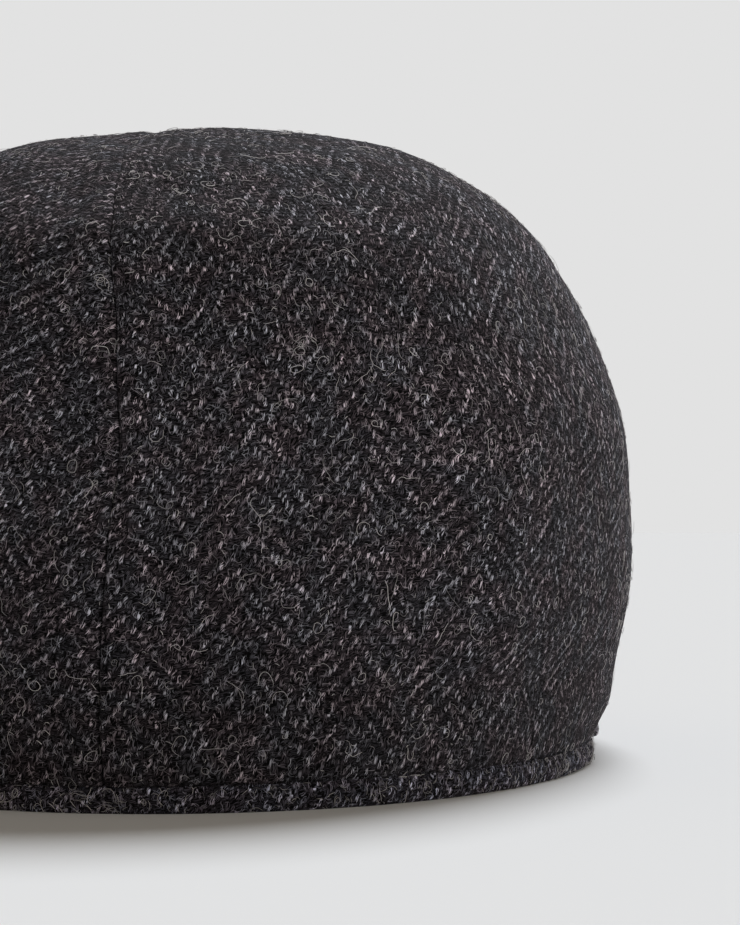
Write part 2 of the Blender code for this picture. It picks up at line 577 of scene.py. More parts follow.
class Wiring:
    """Adds nodes to a node tree and joins them."""

    def __init__(self, tree: bpy.types.NodeTree) -> None:
        """Keep the tree."""
        self.tree = tree

    def node(self, kind: str, **settings: object) -> bpy.types.Node:
        """Add a node.

        Args:
            kind: The node's type.
            settings: Its properties by name.

        Returns:
            The node.
        """
        made = self.tree.nodes.new(kind)
        for name, value in settings.items():
            setattr(made, name, value)
        return made

    def feed(self, socket: Socket, value: object) -> None:
        """Join a socket to an output, or set its value.

        Args:
            socket: The input socket.
            value: An output socket, or the value.
        """
        if isinstance(value, bpy.types.NodeSocket):
            self.tree.links.new(value, socket)
        else:
            socket.default_value = value

    def math(self, operation: str, *values: object, limit: bool = False) -> Socket:
        """Result of a Math node.

        Args:
            operation: The node's operation.
            values: Outputs or numbers for its inputs.
            limit: Whether the result is kept between 0 and 1.

        Returns:
            The node's output.
        """
        made = self.node("ShaderNodeMath", operation=operation, use_clamp=limit)
        for socket, value in zip(made.inputs, values):
            self.feed(socket, value)
        return made.outputs[0]

    def vector(self, operation: str, a: object, b: object) -> Socket:
        """Result of a Vector Math node.

        Args:
            operation: The node's operation.
            a: Output or value for its first input.
            b: Output or value for its second input, or for its factor with SCALE.

        Returns:
            The node's output.
        """
        made = self.node("ShaderNodeVectorMath", operation=operation)
        self.feed(made.inputs[0], a)
        self.feed(made.inputs["Scale"] if operation == "SCALE" else made.inputs[1], b)
        return made.outputs[0]

    def noise(self, place: Socket, scale: object, detail: float = 0.0,
              rough: float = 0.5) -> bpy.types.Node:
        """Add a noise.

        Args:
            place: Where it is read.
            scale: Its scale.
            detail: Its detail.
            rough: Its roughness.

        Returns:
            The noise's node.
        """
        made = self.node("ShaderNodeTexNoise")
        self.feed(made.inputs["Vector"], place)
        self.feed(made.inputs["Scale"], scale)
        made.inputs["Detail"].default_value = detail
        made.inputs["Roughness"].default_value = rough
        return made

    def ease(self, value: Socket, low: object, high: object, start: float = 0.0,
             end: float = 1.0) -> Socket:
        """Ease a value from start at low to end at high.

        Args:
            value: The value.
            low: Where the step starts.
            high: Where the step ends.
            start: Result at and below low.
            end: Result at and above high.

        Returns:
            The eased value.
        """
        made = self.node("ShaderNodeMapRange", interpolation_type="SMOOTHSTEP")
        for name, given in (("Value", value), ("From Min", low), ("From Max", high),
                            ("To Min", start), ("To Max", end)):
            self.feed(made.inputs[name], given)
        return made.outputs[0]

    def split(self, vector: Socket) -> bpy.types.bpy_prop_collection:
        """Take a vector apart.

        Args:
            vector: The vector.

        Returns:
            Its three numbers.
        """
        made = self.node("ShaderNodeSeparateXYZ")
        self.feed(made.inputs[0], vector)
        return made.outputs

    def join(self, *values: object) -> Socket:
        """Put numbers together to a vector.

        Args:
            values: Up to three numbers.

        Returns:
            The vector.
        """
        made = self.node("ShaderNodeCombineXYZ")
        for socket, value in zip(made.inputs, values):
            self.feed(socket, value)
        return made.outputs[0]

    def blend(self, factor: object, a: object, b: object, mode: str = "MIX") -> Socket:
        """Blend two colours.

        Args:
            factor: Share of the second colour.
            a: First colour.
            b: Second colour.
            mode: The way they blend.

        Returns:
            The blended colour.
        """
        made = self.node("ShaderNodeMix", data_type="RGBA", blend_type=mode)
        self.feed(made.inputs[0], factor)
        self.feed(made.inputs[6], a)
        self.feed(made.inputs[7], b)
        return made.outputs[2]

    def pick(self, factor: object, a: object, b: object) -> Socket:
        """Value between two numbers.

        Args:
            factor: Share of the second number.
            a: First number.
            b: Second number.

        Returns:
            The value.
        """
        made = self.node("ShaderNodeMix", data_type="FLOAT")
        self.feed(made.inputs[0], factor)
        self.feed(made.inputs[2], a)
        self.feed(made.inputs[3], b)
        return made.outputs[0]

    def place(self, group: bpy.types.NodeTree, **values: object) -> bpy.types.Node:
        """Place a node group and feed its inputs.

        Args:
            group: The group.
            values: Its inputs by name, with _ for a space.

        Returns:
            The group's node.
        """
        made = self.node("ShaderNodeGroup", node_tree=group)
        for name, value in values.items():
            self.feed(made.inputs[name.replace("_", " ")], value)
        return made


def new_group(name: str, inputs: dict[str, float | None],
              outputs: list[str]) -> tuple[Wiring, Socket, Socket]:
    """Start a shader node group.

    Args:
        name: The group's name.
        inputs: Its inputs; one with a number is a number, and one with None is a vector.
        outputs: Names of its outputs, which are numbers.

    Returns:
        The group's wiring, the outputs of its input node and the inputs of its output node.
    """
    group = bpy.data.node_groups.new(name, "ShaderNodeTree")
    for label, value in inputs.items():
        kind = "NodeSocketVector" if value is None else "NodeSocketFloat"
        socket = group.interface.new_socket(name=label, in_out="INPUT", socket_type=kind)
        if value is not None:
            socket.default_value = value
    for label in outputs:
        group.interface.new_socket(name=label, in_out="OUTPUT", socket_type="NodeSocketFloat")
    wiring = Wiring(group)
    given = wiring.node("NodeGroupInput").outputs
    return wiring, given, wiring.node("NodeGroupOutput").inputs


@dataclass(frozen=True)
class EffectGroups:
    """Shader effects that the cap's cloths share, each a node group that is made once."""

    weave: bpy.types.NodeTree
    strokes: bpy.types.NodeTree
    curls: bpy.types.NodeTree
    blotches: bpy.types.NodeTree

    @classmethod
    def make(cls) -> "EffectGroups":
        """Make the groups."""
        return cls(herringbone_group(), strokes_group(), curls_group(), blotches_group())


def bent(wires: Wiring, cloth: Socket, scale: float, amount: float) -> Socket:
    """Cloth coordinates pushed about by a soft noise.

    Args:
        wires: Wiring of the tree.
        cloth: The coordinates, in metres.
        scale: Scale of the noise.
        amount: Largest push in metres.

    Returns:
        The pushed coordinates.
    """
    push = wires.vector("SUBTRACT", wires.noise(cloth, scale).outputs["Color"], (0.5, 0.5, 0.5))
    return wires.vector("ADD", cloth, wires.vector("SCALE", push, 2 * amount))


def herringbone_group() -> bpy.types.NodeTree:
    """Two-and-two herringbone weave, by threads.

    Returns:
        The group. Its height is 1 on top of a thread, Warp is 1 on warp floats, and Thread is a
        random number for each float.
    """
    inputs = {"Cloth": None, "Warp Pitch": 0.00082, "Weft Pitch": 0.00088, "Column": 12.0, "Lean": 0.5}
    wires, given, out = new_group("herringbone weave", inputs, ["Height", "Warp", "Thread"])
    moved = bent(wires, bent(wires, given["Cloth"], 130.0, 0.0010), 900.0, 0.00022)
    pitches = wires.join(given["Warp Pitch"], given["Weft Pitch"])
    u, v, _ = wires.split(wires.vector("DIVIDE", moved, pitches))
    i, j = wires.math("FLOOR", u), wires.math("FLOOR", v)
    across_u, across_v = wires.math("FRACT", u), wires.math("FRACT", v)
    column = wires.math("FLOOR", wires.math("DIVIDE", i, given["Column"]))
    turned = wires.math("FLOORED_MODULO", column, 2.0)
    direction = wires.math("MULTIPLY_ADD", turned, -2.0, 1.0)
    count = wires.math("MULTIPLY_ADD", direction, i, j)
    count = wires.math("MULTIPLY_ADD", turned, 2.0, count)
    phase = wires.math("FLOORED_MODULO", count, 4.0)
    warp = wires.math("LESS_THAN", phase, 1.5)
    along_warp = wires.math("MULTIPLY", wires.math("ADD", phase, across_v), 0.5)
    forward = wires.math("SUBTRACT", phase, 2.0)
    backward = wires.math("SUBTRACT", 3.0, phase)
    along_weft = wires.math("ADD", wires.pick(turned, forward, backward), across_u)
    along_weft = wires.math("MULTIPLY", along_weft, 0.5)
    along = wires.pick(warp, along_weft, along_warp)
    lean = wires.math("MULTIPLY", wires.math("SUBTRACT", along_warp, 0.5), given["Lean"])
    across = wires.pick(warp, across_v, wires.math("SUBTRACT", across_u, lean, limit=True))
    ends = wires.math("SINE", wires.math("MULTIPLY", along, math.pi))
    sides = wires.math("SINE", wires.math("MULTIPLY", across, math.pi))
    height = wires.math("MULTIPLY", wires.ease(ends, 0.0, 0.8, 0.15, 1.0),
                        wires.ease(sides, 0.0, 0.9, 0.1, 1.0))
    lead = wires.math("FLOOR", wires.math("MULTIPLY", count, 0.5))
    random = wires.node("ShaderNodeTexWhiteNoise", noise_dimensions="3D")
    which = wires.join(wires.pick(warp, lead, i), wires.pick(warp, j, lead), warp)
    wires.feed(random.inputs["Vector"], which)
    wires.feed(out["Height"], height)
    wires.feed(out["Warp"], warp)
    wires.feed(out["Thread"], random.outputs["Value"])
    return wires.tree


def strokes_group() -> bpy.types.NodeTree:
    """Short woollen fibres that lie in one direction.

    Returns:
        The group. Its Strokes output is 1 on a fibre and 0 between fibres.
    """
    inputs = {"Cloth": None, "Angle": 0.0, "Width": 0.00022, "Length": 0.0009, "Low": 0.42, "High": 0.62}
    wires, given, out = new_group("wool strokes", inputs, ["Strokes"])
    turn = wires.node("ShaderNodeVectorRotate", rotation_type="Z_AXIS")
    wires.feed(turn.inputs["Vector"], bent(wires, given["Cloth"], 700.0, 0.0005))
    wires.feed(turn.inputs["Angle"], given["Angle"])
    scale = wires.join(*(wires.math("DIVIDE", 1.0, given[size]) for size in ("Width", "Length")))
    place = wires.vector("MULTIPLY", turn.outputs[0], scale)
    streaks = wires.noise(place, 1.0).outputs["Fac"]
    wires.feed(out["Strokes"], wires.ease(streaks, given["Low"], given["High"]))
    return wires.tree


def curls_group() -> bpy.types.NodeTree:
    """Thin curled hairs, drawn as pieces of the level lines of a noise.

    Returns:
        The group. Its Curls output is 1 on a hair and 0 beside it.
    """
    inputs = {"Cloth": None, "Scale": 700.0, "Thin": 0.03, "Cover": 0.5}
    wires, given, out = new_group("wool curls", inputs, ["Curls"])
    made = wires.noise(given["Cloth"], given["Scale"])
    split = wires.node("ShaderNodeSeparateColor")
    wires.feed(split.inputs[0], made.outputs["Color"])
    lines = []
    for channel in split.outputs[:2]:
        off = wires.math("ABSOLUTE", wires.math("SUBTRACT", channel, 0.5))
        lines.append(wires.ease(off, wires.math("MULTIPLY", given["Thin"], 0.4), given["Thin"], 1.0, 0.0))
    both = wires.math("MAXIMUM", *lines)
    reach = wires.math("MULTIPLY", given["Cover"], 0.24)
    shown = wires.ease(split.outputs[2], wires.math("SUBTRACT", 0.62, reach),
                       wires.math("SUBTRACT", 0.68, reach))
    wires.feed(out["Curls"], wires.math("MULTIPLY", both, shown))
    return wires.tree


def blotches_group() -> bpy.types.NodeTree:
    """Soft uneven shade of dyed wool.

    Returns:
        The group. Shade varies about 1, and Hue goes from 0 to 1 between the two tints of the dye.
    """
    wires, given, out = new_group("dye blotches", {"Cloth": None, "Depth": 0.3}, ["Shade", "Hue"])
    wide = wires.noise(given["Cloth"], 70.0, 3.0, 0.65)
    wires.feed(out["Shade"], wires.math("MULTIPLY_ADD", wires.math("SUBTRACT", wide.outputs["Fac"], 0.5),
                                        wires.math("MULTIPLY", given["Depth"], 4.0), 1.0))
    split = wires.node("ShaderNodeSeparateColor")
    wires.feed(split.inputs[0], wires.noise(given["Cloth"], 170.0, 2.0, 0.6).outputs["Color"])
    wires.feed(out["Hue"], wires.ease(split.outputs[1], 0.36, 0.64))
    return wires.tree


@dataclass(frozen=True)
class Tweed:
    """Woollen herringbone tweed: dark ground with grey and tinted fibres on the threads."""

    name: str
    # Painted shade: near-black colour laid into the weave's hollows and the gaps between fibres.
    painted_hollow_shade: tuple[float, float, float] = (0.0010, 0.0009, 0.0010)
    weft_dark: tuple[float, float, float] = (0.056, 0.050, 0.054)
    weft_light: tuple[float, float, float] = (0.108, 0.100, 0.106)
    warp_dark: tuple[float, float, float] = (0.115, 0.103, 0.111)
    warp_light: tuple[float, float, float] = (0.850, 0.810, 0.835)
    hair: tuple[float, float, float] = (0.60, 0.57, 0.58)
    navy: tuple[float, float, float] = (0.93, 0.98, 1.085)
    violet: tuple[float, float, float] = (1.06, 0.95, 1.025)
    brightness: float = 1.1
    warp_pitch: float = 0.82
    weft_pitch: float = 0.885
    column: float = 12.0
    lean: float = 0.5
    stroke_width: float = 0.12
    stroke_length: float = 1.1
    stroke_low: float = 0.49
    stroke_high: float = 0.58
    # Painted shade in the grooves between threads and in the gaps between fibres.
    groove_painted_shade: float = 0.55
    fibre_gap_painted_shade: float = 0.985
    bright_from: float = 0.15
    # Painted shade: below this height of the thread the light fibres fade out, so threads are darker down
    # their sides than on their crests.
    painted_crest_from: float = 0.3
    fibre_share: float = 0.96
    curl_scale: float = 800.0
    curl_thin: float = 0.022
    curl_cover: float = 0.35
    curl_share: float = 0.5
    strand_width: float = 0.17
    strand_length: float = 1.4
    strand_low: float = 0.74
    strand_edge: float = 0.05
    strand_share: float = 0.45
    weft_angle: float = 1.3
    warp_angle: float = 0.35
    strand_angles: tuple[float, float] = (-0.5, 0.9)
    yarn_power: float = 1.3
    # Painted shade: the colour is darkened to this share at the lower of hem_heights and eases back to
    # full at the higher (millimetres up the cloth), standing in for shade low on the crown.
    painted_hem_shade: float = 0.78
    hem_heights: tuple[float, float] = (5.0, 52.0)
    # Painted shade: the colour eases down to this share between the two top_heights (millimetres up the
    # cloth), standing in for less light on the top of the crown.
    painted_top_shade: float = 0.86
    top_heights: tuple[float, float] = (85.0, 115.0)
    weave_depth: float = 0.20
    fuzz_depth: float = 0.10
    sheen: float = 0.03

    def material(self, groups: EffectGroups) -> bpy.types.Material:
        """Make the material.

        Args:
            groups: The shared shader effects.

        Returns:
            The material.
        """
        made, shader = new_material(self.name)
        wires = Wiring(made.node_tree)
        cloth = wires.node("ShaderNodeUVMap", uv_map=CLOTH_UV).outputs["UV"]
        weave = wires.place(groups.weave, Cloth=cloth, Warp_Pitch=self.warp_pitch * MM,
                            Weft_Pitch=self.weft_pitch * MM, Column=self.column, Lean=self.lean)
        height, warp, thread = (weave.outputs[name] for name in ("Height", "Warp", "Thread"))
        fibres = wires.place(groups.strokes, Cloth=cloth,
                             Angle=wires.pick(warp, self.weft_angle, self.warp_angle),
                             Width=self.stroke_width * MM, Length=self.stroke_length * MM,
                             Low=self.stroke_low, High=self.stroke_high).outputs[0]
        curls = wires.place(groups.curls, Cloth=cloth, Scale=self.curl_scale, Thin=self.curl_thin,
                            Cover=self.curl_cover).outputs[0]
        strands = wires.place(groups.strokes, Cloth=cloth, Angle=wires.pick(thread, *self.strand_angles),
                              Width=self.strand_width * MM, Length=self.strand_length * MM,
                              Low=self.strand_low, High=self.strand_low + self.strand_edge).outputs[0]
        dye = wires.place(groups.blotches, Cloth=cloth)
        yarn = wires.math("POWER", wires.ease(thread, self.bright_from, 1.0), self.yarn_power)
        tuft = wires.math("MULTIPLY_ADD", fibres, self.fibre_share, 1.0 - self.fibre_share)
        # Painted shade: the light fibres show fully only on the crests of the threads, darker down their
        # sides.
        painted_crest_light = wires.ease(height, self.painted_crest_from, 1.0)
        lit = wires.math("MULTIPLY", wires.math("MULTIPLY", yarn, tuft), painted_crest_light, limit=True)
        dark = wires.blend(warp, (*self.weft_dark, 1.0), (*self.warp_dark, 1.0))
        light = wires.blend(warp, (*self.weft_light, 1.0), (*self.warp_light, 1.0))
        colour = wires.blend(lit, dark, light)
        # Painted shade: the colour goes towards near-black in the weave's hollows and between fibres.
        painted_shade_mix = wires.math("MULTIPLY", wires.ease(height, 0.0, 0.7, 1.0 - self.groove_painted_shade, 1.0),
                            wires.ease(fibres, 0.0, 0.8, 1.0 - self.fibre_gap_painted_shade, 1.0))
        colour = wires.blend(painted_shade_mix, (*self.painted_hollow_shade, 1.0), colour)
        loose = wires.math("MAXIMUM", wires.math("MULTIPLY", curls, self.curl_share),
                           wires.math("MULTIPLY", strands, self.strand_share))
        colour = wires.blend(loose, colour, (*self.hair, 1.0))
        tint = wires.blend(dye.outputs["Hue"], (*self.navy, 1.0), (*self.violet, 1.0))
        colour = wires.blend(1.0, colour, tint, "MULTIPLY")
        _, up, _ = wires.split(cloth)
        # Painted shade, darker towards the hem.
        hem = wires.ease(up, *(place * MM for place in self.hem_heights), self.painted_hem_shade, 1.0)
        # Painted shade, darker at the top of the crown.
        top = wires.ease(up, *(place * MM for place in self.top_heights), 1.0, self.painted_top_shade)
        # Dye blotches and overall brightness, times the painted shade towards the hem and at the top of
        # the crown.
        shade = wires.math("MULTIPLY", dye.outputs["Shade"], self.brightness)
        shade = wires.math("MULTIPLY", shade, wires.math("MULTIPLY", hem, top))
        grey = wires.node("ShaderNodeCombineColor")
        for socket in grey.inputs:
            wires.feed(socket, shade)
        colour = wires.blend(1.0, colour, grey.outputs[0], "MULTIPLY")
        relief = wires.math("MULTIPLY", height, self.weave_depth)
        relief = wires.math("MULTIPLY_ADD", fibres, self.fuzz_depth, relief)
        bump = wires.node("ShaderNodeBump")
        bump.inputs["Distance"].default_value = MM
        bump.inputs["Strength"].default_value = 0.8
        wires.feed(bump.inputs["Height"], relief)
        shader.inputs["Roughness"].default_value = 0.95
        shader.inputs["Specular IOR Level"].default_value = 0.1
        shader.inputs["Sheen Weight"].default_value = self.sheen
        shader.inputs["Sheen Roughness"].default_value = 0.45
        shader.inputs["Sheen Tint"].default_value = (0.8, 0.78, 0.82, 1.0)
        wires.feed(shader.inputs["Base Color"], colour)
        wires.feed(shader.inputs["Normal"], bump.outputs["Normal"])
        return made


@dataclass(frozen=True)
class StrayWool:
    """Finish of the stray fibres: grey wool, a different shade for each fibre."""

    name: str
    dark: tuple[float, float, float] = (0.12, 0.11, 0.117)
    light: tuple[float, float, float] = (0.92, 0.88, 0.88)
    power: float = 0.9
    curl_from: float = 0.5

    def material(self) -> bpy.types.Material:
        """Make the material, in which curls take only the lighter shades.

        Returns:
            The material.
        """
        made, shader = new_material(self.name)
        wires = Wiring(made.node_tree)
        cloth = wires.node("ShaderNodeUVMap", uv_map=CLOTH_UV).outputs["UV"]
        mark, which, _ = wires.split(cloth)
        random = wires.node("ShaderNodeTexWhiteNoise", noise_dimensions="1D")
        wires.feed(random.inputs["W"], wires.math("ROUND", wires.math("MULTIPLY", which, 1 / MM)))
        share = wires.math("POWER", random.outputs["Value"], self.power)
        curl = wires.math("GREATER_THAN", mark, CURL_LIMIT)
        lighter = wires.math("MULTIPLY_ADD", share, 1.0 - self.curl_from, self.curl_from)
        share = wires.pick(curl, share, lighter)
        shader.inputs["Roughness"].default_value = 0.7
        shader.inputs["Specular IOR Level"].default_value = 0.3
        colour = wires.blend(share, (*self.dark, 1.0), (*self.light, 1.0))
        wires.feed(shader.inputs["Base Color"], colour)
        return made


@dataclass(frozen=True)
class StudioPaper:
    """Finish of the pale floor."""

    name: str
    albedo: tuple[float, float, float]

    def material(self) -> bpy.types.Material:
        """Make the material.

        Returns:
            The material.
        """
        made, shader = new_material(self.name)
        shader.inputs["Base Color"].default_value = (*self.albedo, 1.0)
        shader.inputs["Roughness"].default_value = 1.0
        shader.inputs["Specular IOR Level"].default_value = 0.0
        return made


def unwrapped(points: Array) -> Array:
    """Flatten a grid of points with little stretch.

    Args:
        points: Grid of points in millimetres, whose last row is a single point.

    Returns:
        Flat coordinates in millimetres, as many as the points, at any place and turn.
    """
    numbers = numbered(*points.shape[:2])
    numbers[-1] = numbers[-1, 0]
    quads = grid_faces(numbers[:-1], False)
    tip = np.stack((numbers[-2, :-1], numbers[-2, 1:], numbers[-1, 1:]), axis=-1)
    mesh = bpy.data.meshes.new("pattern")
    places = points.reshape(-1, 3)[:numbers[-1, 0] + 1]
    mesh.from_pydata(places.tolist(), [], quads.tolist() + tip.tolist())
    pattern = bpy.data.objects.new("pattern", mesh)
    bpy.context.scene.collection.objects.link(pattern)
    bpy.context.view_layer.objects.active = pattern
    pattern.select_set(True)
    mesh.uv_layers.new(name=CLOTH_UV)
    bpy.ops.object.mode_set(mode="EDIT")
    bpy.ops.mesh.select_all(action="SELECT")
    bpy.ops.uv.unwrap(method="MINIMUM_STRETCH", iterations=40)
    bpy.ops.object.mode_set(mode="OBJECT")
    corners = np.empty(len(mesh.loops), dtype=np.int64)
    mesh.loops.foreach_get("vertex_index", corners)
    flat = np.empty(len(mesh.loops) * 2)
    mesh.uv_layers[0].data.foreach_get("uv", flat)
    found = np.zeros((len(mesh.vertices), 2))
    found[corners] = flat.reshape(-1, 2)
    found = found[numbers]
    bpy.data.objects.remove(pattern, do_unlink=True)
    bpy.data.meshes.remove(mesh)
    edges = np.linalg.norm(np.diff(points[:-1], axis=0), axis=-1).sum()
    return found * edges / np.linalg.norm(np.diff(found[:-1], axis=0), axis=-1).sum()


def squared_up(flat: Array, seam: slice) -> Array:
    """Turn flat coordinates so that the first column is upright over a stretch of its rows.

    Args:
        flat: Flat coordinates of a grid.
        seam: The rows that stand upright on the line where the first coordinate is 0.

    Returns:
        The turned coordinates; the rest of the grid lies on the negative side of that line.
    """
    line = flat[seam, 0]
    up = unit(line[-1] - line[0])
    across = np.array((up[1], -up[0]))
    turned = np.stack(((flat - line[0]) @ across, (flat - line[0]) @ up), axis=-1)
    turned[..., 0] -= turned[seam, 0, 0].mean()
    if turned[seam.start, -1, 0] > 0:
        turned[..., 0] *= -1
    return turned


@dataclass
class Dent:
    """Soft bump (above 0) or dent (below 0) of the crown, at a turn in degrees and a height."""

    turn: float
    height: float
    wide: float
    tall: float
    depth: float


@dataclass
class CrownHalf:
    """Half of the crown: cloth on the form, rolled into the centre seam and at the hem."""

    form: CapForm
    half: Half
    rows: int = 169
    main_columns: int = 325
    seam_columns: tuple[float, ...] = (
        0, 0.2, 0.45, 0.75, 1.1, 1.5, 2.0, 2.6, 3.4, 4.4, 5.6, 6.5, 7.1, 7.7, 8.6,
    )
    seam_depth: float = 1.2
    seam_roll: float = 1.2
    seam_fade: float = 0.2
    fade_heights: tuple[float, float] = (88.0, 112.0)
    fade_ends: tuple[float, float] = (-60.0, 20.0)
    wander_reach: float = 50.0
    wander_ends: tuple[float, float] = (-70.0, 0.0)
    wander: tuple[tuple[float, float], ...] = (
        (4.0, 0.5), (21.0, 1.1), (44.0, 0.0), (60.0, -1.3),
        (78.0, 0.0), (98.0, 2.6), (110.0, 4.4), (118.0, 6.2),
    )
    hem_fold: float = 0.3
    hem_meet: float = 0.35
    hem_drop: float = 0.8
    hem_heights: tuple[float, float] = (0.3, 4.0)
    fold_height: float = 0.3
    fold_width: float = 1.1
    fold_wave: float = 0.7
    fold_noise: SoftNoise = SoftNoise(11.0, 29)
    drop_height: float = 3.5
    drop_ends: tuple[float, float] = (-20.0, 10.0)
    allowance_start: tuple[float, float] = (0.8, 3.0)
    allowance_end: tuple[float, float] = (5.1, 6.7)
    allowance_step: float = 0.32
    grain_shift: float = -3.9
    grain_turn: float = 10.5
    grain_offset: float = 11.2
    side_stretch: float = 0.26
    side_from: float = 46.0
    side_reach: float = 35.0
    side_heights: tuple[tuple[float, float], ...] = (
        (8.0, 0.3), (14.0, 0.32), (30.0, 1.0), (60.0, 1.0), (86.0, 0.0),
    )
    top_draw: float = 0.11
    top_from: float = 15.0
    top_reach: float = 60.0
    top_heights: tuple[float, float] = (66.0, 95.0)
    stretch_ends: tuple[float, float] = (-60.0, 30.0)
    upright_heights: tuple[float, float] = (9.0, 62.0)
    pattern_rows: int = 26
    pattern_columns: int = 49
    lining_step: int = 4
    lumps: tuple[tuple[float, float], ...] = ((34.0, 0.9), (13.0, 0.32), (4.5, 0.10), (1.9, 0.06))
    shared_seed: int = 11
    own_seeds: tuple[int, int] = (31, 71)
    own_from: float = 10.0
    large_lump: float = 10.0
    lump_heights: tuple[float, float] = (5.0, 16.0)
    tucked_calm: float = 0.7
    least_radius: float = 20.0
    dents: tuple[Dent, ...] = (
        Dent(0, 98.0, 24, 4.0, 0.5),
        Dent(4, 106.5, 24, 5.5, -1.0),
        Dent(30, 117.0, 18, 7.0, 0.7),
        Dent(62, 106.0, 20, 9.0, 0.8),
        Dent(78, 84.0, 20, 8.0, -0.7),
        Dent(74, 66.0, 16, 9.0, 0.6),
    )

    def positions(self, rows: int) -> Array:
        """Positions in the table of levels, a like distance apart on the cloth.

        Args:
            rows: How many.

        Returns:
            The positions, rising.
        """
        dense = np.linspace(0, self.form.top, 600)
        line = self.form.crown_points(dense, np.full(dense.shape, 0.8))
        length = np.concatenate(([0], np.cumsum(np.linalg.norm(np.diff(line, axis=0), axis=1))))
        return np.interp(np.linspace(0, length[-1], rows), length, dense)

    def turns(self, position: Array) -> Array:
        """Turns of the columns at each position, close together beside the seam.

        Args:
            position: The rows' positions in the table of levels.

        Returns:
            Turns from the back seam, 0 to pi, a row for each position.
        """
        side = np.maximum(self.form.level_values(position)[:, 1], 0.0)[:, None]
        offsets = np.array(self.seam_columns)
        widest = offsets[-1]
        share = np.where(side > 2 * widest, offsets / np.maximum(side, widest), offsets / widest / 2)
        near = np.arcsin(share)
        middle = np.linspace(0, 1, self.main_columns + 2)[1:-1]
        main = mix(near[:, -1:], math.pi - near[:, -1:], middle)
        return np.concatenate((near, main, math.pi - near[:, ::-1]), axis=1)

    def pattern(self, position: Array, turn: Array) -> Array:
        """Flat coordinates of the cloth, cut along its weave up the back.

        Args:
            position: Position of each row of the fine grid.
            turn: Turns of the fine grid's points.

        Returns:
            Flat coordinates of the fine grid in millimetres.
        """
        coarse = self.positions(self.pattern_rows)
        turns = np.linspace(0, math.pi, self.pattern_columns)
        points = self.form.crown_points(*np.meshgrid(coarse, turns, indexing="ij"))
        seam_z = points[:, 0, 2]
        upright = slice(*(int(np.argmax(seam_z > z)) for z in self.upright_heights))
        flat = squared_up(unwrapped(points), upright)
        place = np.interp(position, coarse, np.arange(self.pattern_rows))
        row = np.minimum(place.astype(int), self.pattern_rows - 2)
        share = (place - row)[:, None]
        made = np.empty(turn.shape + (2,))
        for axis in range(2):
            low = np.stack([np.interp(t, turns, flat[r, :, axis]) for t, r in zip(turn, row)])
            high = np.stack([np.interp(t, turns, flat[r + 1, :, axis]) for t, r in zip(turn, row)])
            made[..., axis] = mix(low, high, share)
        return made

    def grain(self, cloth: Array, points: Array) -> Array:
        """Cloth coordinates with the weave drawn as it lies on this half.

        Args:
            cloth: Flat coordinates, counted sideways from the seam.
            points: The points that the coordinates belong to.

        Returns:
            The coordinates that the weave follows: turned towards the seam on the left half, and
            stretched round the side and drawn back over the top on the right half.
        """
        u, v = cloth[..., 0], cloth[..., 1]
        if self.half is Half.LEFT:
            a = math.radians(self.grain_turn)
            across = u * math.cos(a) - v * math.sin(a) + self.grain_offset
            u, v = across, u * math.sin(a) + v * math.cos(a)
        else:
            y, z = points[..., 1], points[..., 2]
            side = np.clip(u - self.side_from, 0.0, self.side_reach) * eased_table(z, self.side_heights)
            over = np.clip(u - self.top_from, 0.0, self.top_reach) * smoothstep(*self.top_heights, z)
            drawn = self.top_draw * over - self.side_stretch * side
            u = u + drawn * smoothstep(*self.stretch_ends, y)
        return np.stack((u + self.grain_shift, v), axis=-1)

    def relief(self, points: Array, position: Array, turn: Array) -> Array:
        """Height of the cloth's relief over the form.

        Args:
            points: Points of the form.
            position: Their positions in the table of levels.
            turn: Their turns from the back seam.

        Returns:
            Heights in millimetres, above 0 outwards.
        """
        x, y, z = np.moveaxis(points, -1, 0)
        tucked = clamp(self.form.level_values(position)[..., 6]) * smoothstep(0, 1, -y)
        rolled = clamp(1 - x / self.seam_roll)
        fade = smoothstep(*self.fade_heights, z) * smoothstep(*self.fade_ends, y)
        seam = -self.seam_depth * mix(1.0, self.seam_fade, fade) * (1 - np.sqrt(1 - rolled ** 2))
        step = self.allowance_step * (1 - smoothstep(*self.allowance_end, x))
        height = (seam + step * smoothstep(*self.allowance_start, x)) * (1 - tucked)
        hem = z - self.form.rim_rise(turn) - self.form.hem_height
        wavy = 1 + self.fold_wave * self.fold_noise(points)
        meeting = self.hem_meet * (1 - smoothstep(*self.hem_heights, hem))
        folded = self.hem_fold * wavy * bell(hem, self.fold_height, self.fold_width)
        height += (meeting - folded) * (1 - tucked)
        free = (1 - tucked) * smoothstep(*self.lump_heights, z)
        own = smoothstep(0.0, self.own_from, x)
        own_seed = self.own_seeds[self.half is Half.LEFT]
        for index, (size, depth) in enumerate(self.lumps):
            shared = SoftNoise(size, self.shared_seed + index)(points)
            noise = SoftNoise(size, own_seed + index)(points)
            share = free if size > self.large_lump else (1 - self.tucked_calm * tucked)
            height += depth * mix(shared, noise, own) * share
        for dent in self.dents:
            arc = (turn - math.radians(dent.turn)) * np.maximum(np.hypot(x, y), self.least_radius)
            height += dent.depth * np.exp(-(arc / dent.wide) ** 2 - ((z - dent.height) / dent.tall) ** 2)
        return height

